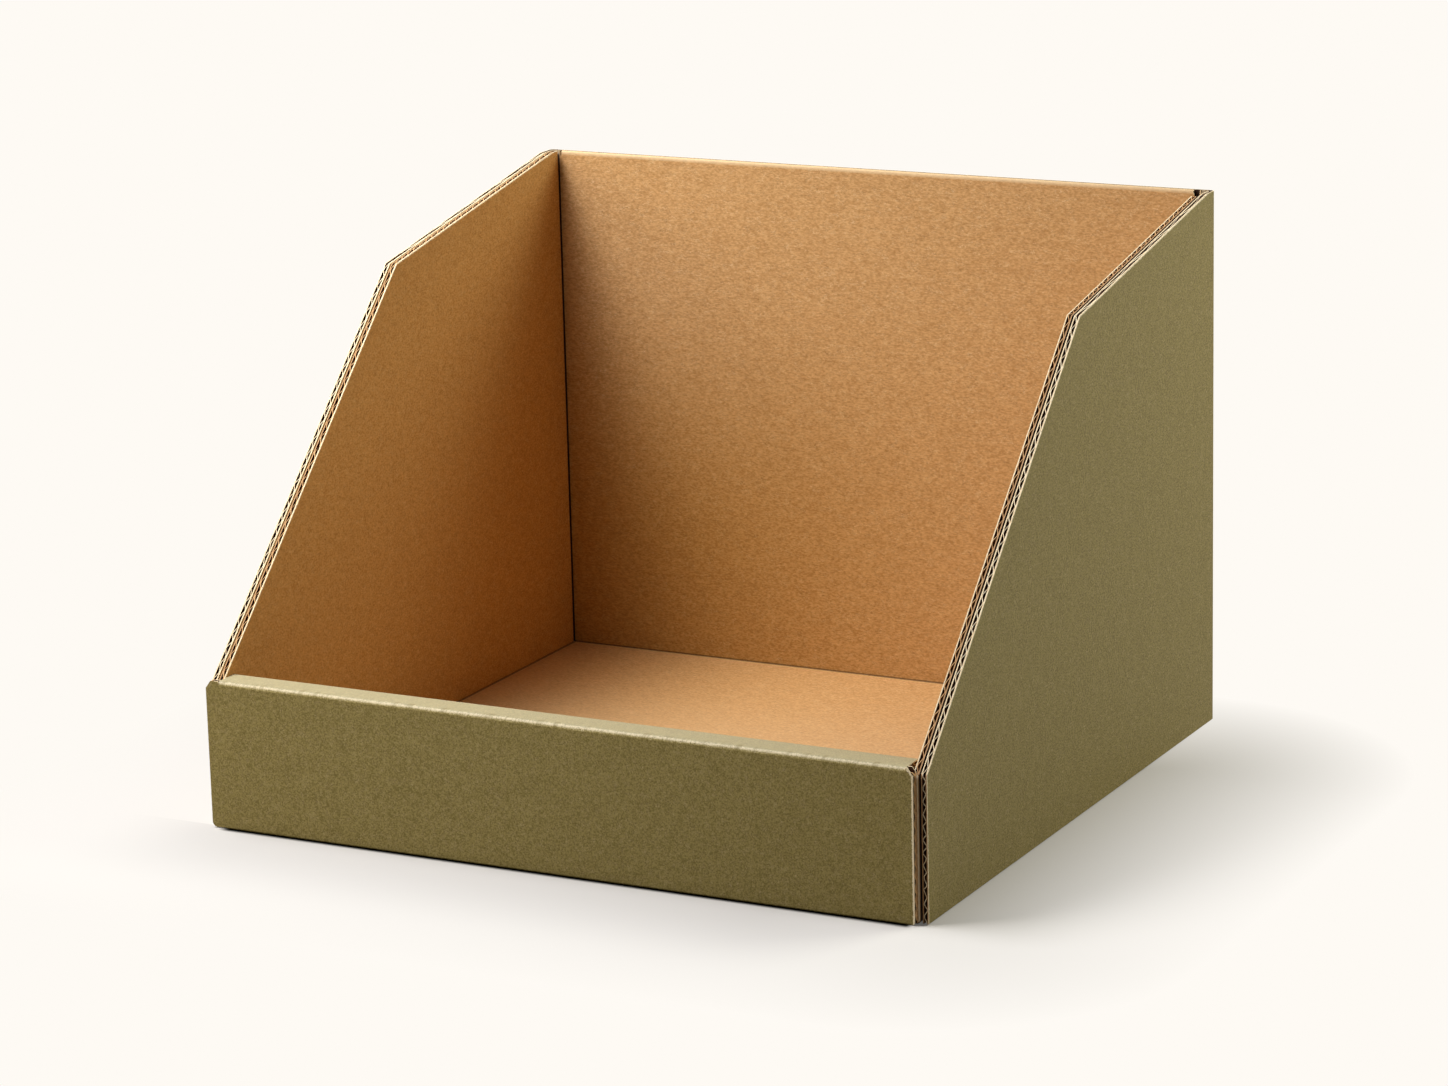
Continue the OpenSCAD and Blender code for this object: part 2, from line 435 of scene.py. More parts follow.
def slot_floor(piece, at, scene):
    """Opens the slots in the floor for the lock tabs."""
    box = scene.box_sizes
    half = box.tab / 2 + box.slot_room
    slot_end = at.slot_y + scene.board_sizes.board + 2 * box.slot_room
    slots = [(side * box.tab_pitch / 2 - half, side * box.tab_pitch / 2 + half) for side in (-1, 1)]
    sides = [(X * x, X) for pair in slots for x in pair]
    on_floor = lambda p: near(p.z, at.depth) and abs(p.x) < at.hinge_x + NEAR
    for place, normal in (*sides, (Y * at.slot_y, Y), (Y * slot_end, Y)):
        cut_faces(piece, on_floor, place, normal)
    for x0, x1 in slots:
        drop_faces(
            piece, lambda p: near(p.z, at.depth) and within(p.x, x0, x1) and within(p.y, at.slot_y, slot_end),
        )


def fold_inner_walls(piece, at):
    """Folds the inner side walls up from the floor."""
    for side in (-1, 1):
        pick(piece, "EDGE", lambda p: near(p.x, side * (at.inner_x - at.radius)) and near(p.z, at.depth))
        extrude(*bend(X * side, Z, at.radius), Z * (at.top_z - at.depth - at.radius))


def fold_back(piece, at):
    """Folds the back up from the floor, and the outer side walls round from the back."""
    low = at.depth + at.radius
    pick(piece, "EDGE", lambda p: near(p.y, at.back_y - at.radius) and near(p.z, at.depth))
    extrude(*bend(Y, Z, at.radius), Z * (at.top_z - low))
    widen(piece, at, at.back_y, low, at.top_z, (-at.outer_x + at.radius, at.outer_x - at.radius))
    for side in (-1, 1):
        pick(piece, "EDGE", lambda p: near(p.x, side * (at.outer_x - at.radius)) and near(p.y, at.back_y))
        extrude(*bend(X * side, -Y, at.radius), Y * (at.wall_y - at.back_y + at.radius))


def widen(piece, at, y, low, high, ends):
    """Lets a panel reach past its fold to both ends, with its foot just off the floor there."""
    for side, end in zip((-1, 1), ends):
        start_x = side * at.hinge_x
        on_step = lambda p: near(p.x, start_x + side * RELIEF) and near(p.y, y)
        pick(piece, "EDGE", lambda p: near(p.x, start_x) and near(p.y, y) and within(p.z, low, high))
        extrude(X * side * RELIEF)
        pick(piece, "VERT", lambda p: on_step(p) and near(p.z, low))
        move(Z * (at.foot_z - low))
        pick(piece, "EDGE", on_step)
        extrude(X * (end - start_x - side * RELIEF))


def roll_front(piece, at, scene):
    """Folds the front up from the floor and rolls its lip over, down to the lock tabs."""
    box = scene.box_sizes
    low = at.depth + at.foot_radius
    high = at.lip_z - at.radius
    on_front = lambda p: near(p.y, at.front_y)
    on_fold = lambda p: on_front(p) and near(p.z, high)
    in_roll = lambda p: on_fold(p) and within(p.x, *at.roll_x)
    on_lip_back = lambda p: near(p.y, at.lip_y)
    pick(piece, "EDGE", lambda p: near(p.y, at.front_y + at.foot_radius) and near(p.z, at.depth))
    extrude(*bend(-Y, Z, at.foot_radius), Z * (high - low))
    widen(piece, at, at.front_y, low, high, at.end_x)
    for x in at.roll_x:
        cut_faces(piece, on_front, X * x, X)
    for side, roll in zip((-1, 1), at.roll_x):
        pick(piece, "EDGE", lambda p: on_fold(p) and side * (p.x - roll) > -NEAR)
        extrude(Z * (box.lip - high))
    for place, normal in at.corners:
        cut_faces(piece, on_front, place, normal, drop=True)
    for end in at.end_x:
        room = abs(end) - at.hinge_x - RELIEF
        pick(piece, "VERT", lambda p: on_front(p) and near(p.x, end) and near(p.z, at.foot_z))
        bpy.ops.mesh.bevel(offset=min(box.foot, 0.8 * room), segments=6, affect="VERTICES")
    pick(piece, "EDGE", in_roll)
    bpy.ops.mesh.subdivide(number_cuts=LIP_CUTS)
    pick(piece, "EDGE", in_roll)
    over = at.lip_y - at.front_y - at.radius - at.lip_radius
    down = at.lip_foot_z - at.lip_z + at.lip_radius
    extrude(*bend(Z, Y, at.radius), Y * over, *bend(Y, -Z, at.lip_radius), Z * down)
    tabs = [side * box.tab_pitch / 2 + end * box.tab / 2 for side in (-1, 1) for end in (-1, 1)]
    for x in tabs:
        cut_faces(piece, on_lip_back, X * x, X)
    for x0, x1 in (tabs[:2], tabs[2:]):
        pick(piece, "EDGE", lambda p: on_lip_back(p) and near(p.z, at.lip_foot_z) and within(p.x, x0, x1))
        extrude(Z * (at.foot_z - at.lip_foot_z))


def trim_walls(piece, at):
    """Cuts the side walls to their slopes, and the inner ones free of the back."""
    on_inner = lambda p: near(abs(p.x), at.inner_x)
    for place, normal in at.slopes:
        cut_faces(piece, lambda p: on_inner(p) or near(abs(p.x), at.outer_x), place, normal, drop=True)
    cut_faces(piece, on_inner, Y * at.rear_y, Y)
    drop_faces(piece, lambda p: on_inner(p) and p.y > at.rear_y - NEAR)
    cut_faces(piece, lambda p: near(p.x, at.inner_x), *at.rear_corner, drop=True)


def notch_back(piece, at, scene):
    """Cuts a rounded relief notch at each end of the back's top edge."""
    on_back = lambda p: near(p.y, at.back_y)
    for x0, x1 in at.notches:
        turns = [math.pi * i / NOTCH_PARTS for i in range(NOTCH_PARTS + 1)]
        spots = [((x0 + x1) / 2 - (x1 - x0) / 2 * math.cos(turn), math.sin(turn)) for turn in turns]
        for x, _ in spots:
            cut_faces(piece, on_back, X * x, X)
        for x, share in spots:
            pick(piece, "VERT", lambda p: on_back(p) and near(p.x, x) and near(p.z, at.top_z))
            move(Z * -scene.box_sizes.notch_depth * share)


def roll_back(piece, at, scene):
    """Rolls the liner over the back's top edge between the notches."""
    roll = scene.box_sizes.top_roll
    on_edge = lambda p: within(p.x, at.notches[0][1], at.notches[1][0]) and near(p.y, at.back_y)
    pick(piece, "VERT", lambda p: on_edge(p) and near(p.z, at.top_z))
    move(Z * -roll)
    pick(piece, "EDGE", lambda p: on_edge(p) and near(p.z, at.top_z - roll))
    extrude(*bend(Z, Y, roll), *bend(Y, -Z, roll))


def dent_fold(piece, at, scene):
    """Dents the lip's front fold a little, as handling does."""
    box = scene.box_sizes
    group = piece.vertex_groups.new(name="front_fold")
    on_fold = [
        v.index for v in piece.data.vertices
        if v.co.y < at.front_y + at.radius - NEAR and v.co.z > at.lip_z - at.radius + NEAR
        and at.roll_x[0] < v.co.x < at.roll_x[1]
    ]
    group.add(on_fold, 1, "REPLACE")
    texture = bpy.data.textures.new("fold_dents", "CLOUDS")
    texture.noise_scale = box.dent_size
    texture.noise_depth = 2
    apply_modifier(
        piece, "DISPLACE", texture=texture, strength=box.dent, mid_level=1, vertex_group=group.name,
        texture_coords="LOCAL",
    )


def folded_sheet(name, scene, depth, radius, printed):
    """One liner of the whole sheet, folded up, with its face turned out if it is printed."""
    at = Places(scene, depth, radius)
    y0 = at.front_y + at.foot_radius
    y1 = at.back_y - radius
    piece = start(
        name, bpy.ops.mesh.primitive_plane_add, (0, (y0 + y1) / 2, depth),
        (2 * (at.inner_x - radius), y1 - y0, 1),
    )
    free_corners(piece, at)
    fold_inner_walls(piece, at)
    fold_back(piece, at)
    roll_front(piece, at, scene)
    slot_floor(piece, at, scene)
    trim_walls(piece, at)
    if not printed:
        notch_back(piece, at, scene)
        roll_back(piece, at, scene)
    bpy.ops.mesh.select_all(action="SELECT")
    bpy.ops.mesh.normals_make_consistent(inside=False)
    mesh = bmesh.from_edit_mesh(piece.data)
    floor = max(mesh.faces, key=lambda f: -abs(f.calc_center_median().z - depth) + f.calc_area())
    if (floor.normal.z < 0) != printed:
        bpy.ops.mesh.flip_normals()
    finish_edit()
    dent_fold(piece, at, scene)
    return piece


def make_liner(name, scene, depth, radius, face, printed):
    """One liner with its thickness and its materials."""
    piece = folded_sheet(name, scene, depth, radius, printed)
    # The liners' inner faces take the fluted paper's painted shade
    paint(piece, face, "cut_edge", "fluted_paper")
    thicken(piece, scene.board_sizes.liner, -1, inner_material=2)
    close_piece(piece)


def corrugate(piece, axis, begin, end, scene, thickness):
    """Turns a strip that is one flute wide into flutes that follow one another from begin to end."""
    board = scene.board_sizes
    swing = (board.board - 2 * board.liner - thickness) / 2
    rows = (0, board.crest, board.pitch / 2, board.pitch / 2 + board.crest, board.pitch)
    along = AXES[axis]
    for row in rows[1:4]:
        cut_all(along * (begin + row), along)
    for crest_rows, way in (((rows[0], rows[1], rows[4]), 1), (rows[2:4], -1)):
        pick(piece, "VERT", lambda p: any(near(p[axis] - begin, row) for row in crest_rows))
        bpy.ops.transform.shrink_fatten(value=way * swing, use_even_offset=True)
    finish_edit()
    apply_modifier(
        piece, "ARRAY", count=math.ceil((end - begin) / board.pitch), use_relative_offset=False,
        use_constant_offset=True, constant_offset_displace=along * board.pitch, use_merge_vertices=True,
        merge_threshold=NEAR,
    )
    bpy.ops.object.mode_set(mode="EDIT")
    bpy.ops.mesh.select_mode(type="EDGE")
    bpy.ops.mesh.select_all(action="DESELECT")
    mesh = bmesh.from_edit_mesh(piece.data)
    for edge in mesh.edges:
        level = near(edge.verts[0].co[axis], edge.verts[1].co[axis])
        edge.select_set(level and not edge.is_boundary)
    bmesh.update_edit_mesh(piece.data)
    bpy.ops.transform.vertex_random(offset=board.uneven, uniform=1, normal=0, seed=axis)
    bpy.ops.mesh.bevel(offset=board.crest_round, segments=3, affect="EDGES", clamp_overlap=True)
    cut_all(along * end, along, drop=True)


def trim_flutes(at, scene):
    """Cuts flutes to the side walls' slopes and top, just behind the liners' edges."""
    board = scene.board_sizes
    for place, normal in (*at.slopes, (Y * at.wall_y, -Y)):
        cut_all(place - normal * board.shrink, normal, drop=True)
    cut_all(Z * (at.top_z - board.medium / 2), Z, drop=True)


def wrap_flutes(name, scene, at):
    """Flutes of the back and the outer side walls, which lie level."""
    board = scene.board_sizes
    y0 = at.wall_y - board.uneven
    low = at.foot_z
    high = low + board.pitch
    piece = start(
        name, bpy.ops.mesh.primitive_cube_add, (0, (y0 + at.back_y) / 2, (low + high) / 2),
        (2 * at.outer_x, at.back_y - y0, board.pitch),
    )
    drop_faces(piece, lambda p: near(p.z, low), lambda p: near(p.z, high), lambda p: near(p.y, y0))
    pick(piece, "EDGE", lambda p: near(abs(p.x), at.outer_x) and near(p.y, at.back_y))
    bpy.ops.mesh.bevel(offset=at.radius, segments=3, affect="EDGES")
    corrugate(piece, 2, low, at.top_z - board.shrink, scene, board.medium)
    trim_flutes(at, scene)
    under_roll = at.top_z - scene.box_sizes.notch_depth
    on_back = lambda p: abs(p.y - at.back_y) < board.board / 2
    cut_faces(piece, on_back, Z * under_roll, Z)
    drop_faces(piece, lambda p: on_back(p) and p.z > under_roll - NEAR)
    finish_edit()
    return piece


def tray_flutes(name, scene, at):
    """Flutes of the floor and the inner side walls, which run up the walls."""
    board = scene.board_sizes
    y0 = at.wall_y + board.shrink
    y1 = y0 + board.pitch
    piece = start(
        name, bpy.ops.mesh.primitive_cube_add, (0, (y0 + y1) / 2, (at.depth + at.top_z) / 2),
        (2 * at.inner_x, board.pitch, at.top_z - at.depth),
    )
    drop_faces(piece, lambda p: near(p.z, at.top_z), lambda p: near(p.y, y0), lambda p: near(p.y, y1))
    pick(piece, "EDGE", lambda p: near(abs(p.x), at.inner_x) and near(p.z, at.depth))
    bpy.ops.mesh.bevel(offset=at.radius, segments=3, affect="EDGES")
    corrugate(piece, 1, y0, at.rear_y - board.shrink, scene, board.medium)
    trim_flutes(at, scene)
    cut_faces(piece, lambda p: p.x > at.inner_x - board.board / 2, *at.rear_corner, drop=True)
    finish_edit()
    return piece


def flat_flutes(name, scene, axis, begin, end, level, ends):
    """Level flutes of one flat panel across the box, which follow one another along Y or Z."""
    board = scene.board_sizes
    width = ends[1] - ends[0] + 2 * board.uneven
    place = Vector(((ends[0] + ends[1]) / 2, level, level))
    place[axis] = begin + board.pitch / 2
    piece = start(name, bpy.ops.mesh.primitive_plane_add, (0, 0, 0), (width, board.pitch, 1))
    if axis == 2:
        bpy.ops.transform.rotate(value=math.pi / 2, orient_axis="X", center_override=(0, 0, 0))
    move(place)
    corrugate(piece, axis, begin, end, scene, board.front_medium)
    for x, side in zip(ends, (-X, X)):
        cut_all(X * x - side * board.shrink, side, drop=True)
    return piece


def front_flutes(name, scene, at):
    """Flutes of the front, the lip's top and the lip's inner side, which lie level."""
    low = at.depth + at.radius
    high = at.lip_z - at.radius
    front = flat_flutes(name, scene, 2, low, high, at.front_y, at.end_x)
    for place, normal in at.corners:
        cut_all(place - normal * scene.board_sizes.shrink, normal, drop=True)
    finish_edit()
    y0 = at.front_y + at.radius
    top = flat_flutes("lip_top", scene, 1, y0, at.lip_y - at.radius, at.lip_z, at.roll_x)
    finish_edit()
    inner = flat_flutes("lip_inner", scene, 2, at.lip_foot_z, high, at.lip_y, at.roll_x)
    finish_edit()
    return join([front, top, inner])


def wall_webs(name, scene, at):
    """Fluted paper that lies flat in the inner side walls' front edges, which are cut along a flute."""
    board = scene.board_sizes
    room = board.board - 2 * board.liner
    top = scene.box_sizes.side_front
    webs = []
    for side in (-1, 1):
        piece = start(
            name, bpy.ops.mesh.primitive_cube_add,
            (side * at.inner_x, at.wall_y + board.medium, (top + at.lip_foot_z) / 2),
            (room, board.medium, top - at.lip_foot_z),
        )
        bpy.ops.mesh.bevel(offset=board.medium / 5, segments=2, affect="EDGES")
        finish_edit()
        webs.append(piece)
    return join(webs)


# Materials

class Nodes:
    """A node tree, with short ways to add the nodes that are used most."""

    def __init__(self, tree):
        self.tree = tree

    def link(self, value, socket):
        """Links a socket to another one, or gives it a value."""
        if isinstance(value, bpy.types.NodeSocket):
            self.tree.links.new(value, socket)
        else:
            socket.default_value = value

    def add(self, kind, inputs=None, **settings):
        """Adds a node, with its settings, and its inputs given as values or linked sockets."""
        made = self.tree.nodes.new(kind)
        for name, value in settings.items():
            setattr(made, name, value)
        for name, value in (inputs or {}).items():
            self.link(value, made.inputs[name])
        return made

    def math(self, operation, *values):
        """A sum, a size or the like of values."""
        return self.add("ShaderNodeMath", dict(enumerate(values)), operation=operation).outputs[0]

    def vector(self, operation, *values, output="Vector"):
        """A sum, a length or the like of vectors."""
        made = self.add("ShaderNodeVectorMath", dict(enumerate(values)), operation=operation)
        return made.outputs[output]

    def axes(self, vector):
        """The three parts of a vector."""
        return self.add("ShaderNodeSeparateXYZ", {"Vector": vector}).outputs

    def product(self, *values):
        """The product of several values."""
        return functools.reduce(lambda a, b: self.math("MULTIPLY", a, b), values)

    def largest(self, *values):
        """The largest of several values."""
        return functools.reduce(lambda a, b: self.math("MAXIMUM", a, b), values)

    def plus(self, a, b):
        """The sum of two values."""
        return self.math("ADD", a, b)

    def minus(self, a, b):
        """The difference of two values."""
        return self.math("SUBTRACT", a, b)

    def size(self, value):
        """A value without its sign."""
        return self.math("ABSOLUTE", value)

    def above(self, value, limit):
        """1 where a value is more than a limit."""
        return self.math("GREATER_THAN", value, limit)

    def below(self, value, limit):
        """1 where a value is less than a limit."""
        return self.math("LESS_THAN", value, limit)

    def between(self, value, low, high):
        """1 where a value lies between two others."""
        return self.product(self.above(value, low), self.below(value, high))

    def ramp(self, value, low, high):
        """A value as a share of the way from low to high, from 0 to 1."""
        inputs = {"Value": value, "From Min": low, "From Max": high}
        return self.add("ShaderNodeMapRange", inputs, interpolation_type="SMOOTHSTEP").outputs["Result"]

    def mix(self, share, a, b, blend="MIX"):
        """A colour between two others, or the first one with the second laid over it in another way."""
        made = self.add("ShaderNodeMix", {0: share}, data_type="RGBA", blend_type=blend)
        for place, tone in ((MIX_A, a), (MIX_B, b)):
            self.link(tone if isinstance(tone, bpy.types.NodeSocket) else (*tone, 1), made.inputs[place])
        return made.outputs[MIX_RESULT]

    def noise(self, place, scale, detail=1.0, distortion=0.0):
        """Smooth noise around a half at a scale."""
        inputs = {"Vector": place, "Scale": scale, "Detail": detail, "Distortion": distortion}
        return self.add("ShaderNodeTexNoise", inputs).outputs["Fac"]

    def strokes(self, place, shift, scale):
        """Short curved strokes, such as single fibres, that lie in patches."""
        moved = self.vector("ADD", place, shift)
        line = self.ramp(self.size(self.minus(self.noise(moved, scale, 1, 0.6), 0.5)), 0.045, 0)
        patch = self.ramp(self.noise(moved, self.product(scale, 0.45)), 0.46, 0.6)
        return self.product(line, patch)


def emptied_tree(holder):
    """The node tree of a material or a world, with nothing in it."""
    holder.use_nodes = True
    holder.node_tree.nodes.clear()
    return holder.node_tree


# Share of the wide clouds in a paper's shade, beside its fine grain
CLOUDS = 0.15


def paper_grain():
    """Node group: the shade, the light and dark fibres and the height of paper."""
    name = "paper_grain"
    if name in bpy.data.node_groups:
        return bpy.data.node_groups[name]
    group = bpy.data.node_groups.new(name, "ShaderNodeTree")
    for label, way, kind in (
        ("Vector", "INPUT", "NodeSocketVector"), ("Stretch", "INPUT", "NodeSocketVector"),
        ("Scale", "INPUT", "NodeSocketFloat"), ("Shade", "OUTPUT", "NodeSocketFloat"),
        ("Light Fibres", "OUTPUT", "NodeSocketFloat"), ("Dark Fibres", "OUTPUT", "NodeSocketFloat"),
        ("Height", "OUTPUT", "NodeSocketFloat"),
    ):
        group.interface.new_socket(label, in_out=way, socket_type=kind)
    nodes = Nodes(group)
    given = nodes.add("NodeGroupInput").outputs
    stretched = nodes.vector("MULTIPLY", given["Vector"], given["Stretch"])
    clouds = nodes.noise(given["Vector"], nodes.product(given["Scale"], 0.12), 3)
    fine = nodes.noise(stretched, given["Scale"], 1.5)
    both = nodes.plus(nodes.product(clouds, CLOUDS), nodes.product(fine, 1 - CLOUDS))
    stroke_scale = nodes.product(given["Scale"], 0.7)
    light = nodes.strokes(stretched, (3, 5, 7), stroke_scale)
    dark = nodes.strokes(stretched, (11, 2, 4), stroke_scale)
    height = nodes.plus(both, nodes.product(nodes.minus(light, dark), 0.4))
    nodes.add("NodeGroupOutput", {
        "Shade": nodes.ramp(both, 0.25, 0.75), "Light Fibres": light, "Dark Fibres": dark, "Height": height,
    })
    return group


# How strongly each kind of wear, painted light, painted highlight and painted shade shows
# Painted sheen on the lip's partly rubbed top
LIP_TOP_SHEEN_AND_WEAR = 0.32
LIP_FOLD_WEAR = 0.45
TICKS = 0.4
# Painted shade on the left wall, and on the back's left and low parts
WALL_SHADE = 0.55
BACK_SHADE = 0.68
# Painted light and sheen on the floor towards the front
FLOOR_SHEEN = 0.6
# Painted shade along the floor's creases
CREASE_SHADE = 0.65
# Painted highlight with rubbing along the back's top roll
ROLL_HIGHLIGHT_AND_WEAR = 0.5
# How far paper has chipped off: print and bare paper along the side walls, and print at the front's end
PRINT_CHIPS = 0.9 * MM
BARE_CHIPS = 0.8 * MM
END_CHIPS = 1.1 * MM
# How uneven chipped edges are, how softly they end, and how high the paper's fibres stand
RAGGED = 0.8 * MM
CHIP_FADE = 0.4 * MM
FIBRE_HEIGHT = 0.15 * MM
# Width of the painted shade lines along the floor's creases
CREASE_WIDTH = 0.9 * MM

# A paper's fibres on level and sideways panels, and how rough, glossy and raised it is
Finish = namedtuple("Finish", "stretch side_stretch roughness gloss relief")
PRINTED = Finish((1, 1, 1), (1, 0.54, 0.9), 0.62, 0.3, 0.2)
BARE = Finish((0.46, 1, 1), (1, 0.58, 0.9), 0.8, 0.2, 0.3)


class Paper(Nodes):
    """A paper's material, with its grain on the piece's own coordinates, turned on sideways panels."""

    def __init__(self, scene, name, finish, scale):
        super().__init__(emptied_tree(bpy.data.materials.new(name)))
        self.scene = scene
        self.board = scene.board_sizes
        self.box = scene.box_sizes
        self.colours = scene.board_colours
        given = self.add("ShaderNodeTexCoord").outputs
        self.place = given["Object"]
        self.x, self.y, self.z = self.axes(self.place)
        self.across = self.size(self.x)
        self.facing = self.axes(given["Normal"])
        self.sideways = self.above(self.size(self.facing["X"]), FACING)
        self.ahead = self.below(self.facing["Y"], -FACING)
        change = Vector(finish.side_stretch) - Vector(finish.stretch)
        stretch = self.vector("MULTIPLY_ADD", self.sideways, change, finish.stretch)
        inputs = {"Vector": self.place, "Stretch": stretch, "Scale": scale}
        self.grain = self.add("ShaderNodeGroup", inputs, node_tree=paper_grain()).outputs

    def layer(self, depth, radius):
        """Where the panels lie at a depth inside the board's outer face."""
        return Places(self.scene, depth, radius)

    def past(self, point, normal):
        """How far a place lies in front of a plane."""
        return self.minus(self.vector("DOT_PRODUCT", self.place, normal, output="Value"), point.dot(normal))

    def chipped(self, edge, width):
        """Mask of what has chipped off up to a width from an edge, given the distance past that edge."""
        ragged = self.product(self.minus(self.grain["Height"], 0.5), RAGGED)
        return self.ramp(self.plus(edge, ragged), -width, CHIP_FADE - width)

    def finish(self, shown, finish):
        """Gives the paper its colour, its gloss and its raised fibres."""
        raised = self.add(
            "ShaderNodeBump",
            {"Height": self.grain["Height"], "Strength": finish.relief, "Distance": FIBRE_HEIGHT},
        )
        shader = self.add("ShaderNodeBsdfPrincipled", {
            "Base Color": shown, "Roughness": finish.roughness, "Specular IOR Level": finish.gloss,
            "Normal": raised.outputs["Normal"],
        })
        self.add("ShaderNodeOutputMaterial", {"Surface": shader.outputs["BSDF"]})


def lip_sheen_and_wear(on):
    """Masks of the pale print on the lip: on its top, a painted sheen over partly rubbed print, and along its
    two folds, rubbed print.
    """
    at_lip = on.product(
        on.below(on.y, CAD_LOW.y + on.box.lip_depth + 1 * MM), on.above(on.z, on.box.lip - 3 * MM),
    )
    # Painted sheen on the lip's upward faces, over partly rubbed print
    top = on.product(on.ramp(on.facing["Z"], 0.6, 0.95), LIP_TOP_SHEEN_AND_WEAR)
    tilt = on.size(on.product(on.facing["Y"], on.facing["Z"]))
    ragged = on.product(on.minus(on.grain["Height"], 0.5), 0.35)
    fold = on.product(on.ramp(on.plus(tilt, ragged), 0.3, 0.52), LIP_FOLD_WEAR)
    return [on.product(at_lip, part) for part in (top, fold)]


def fold_ticks(on):
    """Mask of the short cracks across the lip's front fold."""
    along = on.vector("DOT_PRODUCT", on.place, (1, -0.5, 0.3), output="Value")
    inputs = {"W": along, "Scale": 110, "Detail": 1}
    uneven = on.add("ShaderNodeTexNoise", inputs, noise_dimensions="1D").outputs["Fac"]
    line = on.ramp(on.size(on.minus(uneven, 0.5)), 0.025, 0)
    on_top = on.ramp(on.y, CAD_LOW.y + 4.5 * MM, CAD_LOW.y + 2.5 * MM)
    high = on.ramp(on.z, on.box.lip - 3.5 * MM, on.box.lip - 2 * MM)
    return on.product(on_top, high, line, TICKS)


def wall_wear(on, width):
    """Mask of the paper that has chipped off along the cut edges of the side walls."""
    at = on.layer(0, on.board.fold)
    slopes = [on.past(*slope) for slope in at.slopes]
    wall = on.largest(*slopes, on.minus(at.wall_y, on.y))
    return on.product(on.chipped(wall, width), on.sideways)


def front_wear(on, width):
    """Mask of the print that has chipped off along the front's right end."""
    at = on.layer(0, on.board.fold)
    end = on.largest(on.past(*at.corners[1]), on.minus(on.x, at.end_x[1]))
    return on.product(on.chipped(end, width), on.ahead)


def deep_shade_faces(on):
    """Mask of the painted shade on the faces between the two boards of the right side wall."""
    past = on.board.ply_gap / 4
    high = CAD_HIGH.x - on.board.board
    return on.product(on.between(on.x, high - on.board.ply_gap - past, high + past), on.sideways)


def painted_inner_shade(on):
    """Mask of the painted shade on the bare inside: the left wall, and the back's left and low parts."""
    wall = on.product(on.above(on.facing["X"], FACING), WALL_SHADE)
    left = on.ramp(on.x, 150 * MM, -150 * MM)
    low = on.ramp(on.z, 240 * MM, 60 * MM)
    return on.largest(wall, on.product(on.ahead, BACK_SHADE, left, low))


def floor_towards(on, across, begin, end, share):
    """Mask of the floor that grows to a share from one place across it to another."""
    return on.product(on.ramp(on.facing["Z"], 0.6, 0.9), share, on.ramp(across, begin, end))


def crease_shade(on):
    """Mask of the painted shade lines along the floor's creases."""
    at = on.layer(on.board.board, on.board.crease)
    side = on.above(on.across, at.inner_x - CREASE_WIDTH)
    rear = on.above(on.y, at.back_y - CREASE_WIDTH)
    low = on.ramp(on.z, at.depth + CREASE_WIDTH, at.depth + CREASE_WIDTH / 2)
    return on.product(on.largest(side, rear), low, CREASE_SHADE)


def shade_behind_walls(on):
    """Mask of the painted shade on the back where it lies behind the inner side walls."""
    at = on.layer(on.board.board, on.board.crease)
    return on.product(on.above(on.y, at.rear_y), on.above(on.across, at.inner_x))


def back_roll_highlight_and_wear(on):
    """Mask of the painted highlight and rubbed paper along the roll of the back's top edge."""
    roll = on.box.top_roll
    behind = on.above(on.y, CAD_HIGH.y - on.board.board - roll)
    return on.product(behind, on.ramp(on.z, CAD_HIGH.z - 2.2 * roll, CAD_HIGH.z - roll), ROLL_HIGHLIGHT_AND_WEAR)


def notch_shade(on):
    """Mask of the painted shade on the paper that shows through the relief notches."""
    high = CAD_HIGH.z - 2 * on.box.notch_depth
    return on.product(on.above(on.y, CAD_HIGH.y - on.board.board), on.above(on.z, high))


def lip_hollow_shade(on):
    """Mask of the painted shade on what lies inside the rolled lip."""
    rear = CAD_LOW.y + on.box.lip_depth - 1 * MM
    return on.product(on.below(on.y, rear), on.below(on.z, on.box.lip - 1 * MM))


def gap_edge_shade(on):
    """Mask of the painted shade on the inner walls' outer liners at the gap between the boards."""
    face = CAD_HIGH.x - on.board.board - on.board.ply_gap
    return on.between(on.across, face - on.board.liner - NEAR, face + on.board.ply_gap / 2)


def shaded_upright_edges(on):
    """Mask of the painted shade on the side walls' upright front edges."""
    return on.product(on.ahead, on.above(on.across, CAD_HIGH.x - 2 * on.board.board - on.board.ply_gap))


def past_print(on, depth):
    """Mask of the front's right end, past the end of a layer at a depth in the board."""
    end = on.layer(depth, on.board.fold).end_x[1]
    return on.product(on.above(on.x, end), on.below(on.y, CAD_LOW.y + on.board.board))


def print_layers(on):
    """Masks and colours over the print: a painted sheen on the lip's partly rubbed top, rubbed along the
    lip's folds, chipped at the cut edges, and painted shade between the wall boards.
    """
    tones = on.colours
    top, folds = lip_sheen_and_wear(on)
    return (
        # Painted sheen over partly rubbed print on the lip's top
        (top, tones.print_worn_and_sheen),
        (folds, tones.cut_light),
        (fold_ticks(on), tones.print_dark),
        (on.largest(wall_wear(on, PRINT_CHIPS), front_wear(on, END_CHIPS)), tones.cut_light),
        # Painted shade on the faces in the gap between the wall boards
        (deep_shade_faces(on), tones.deep_shade),
    )


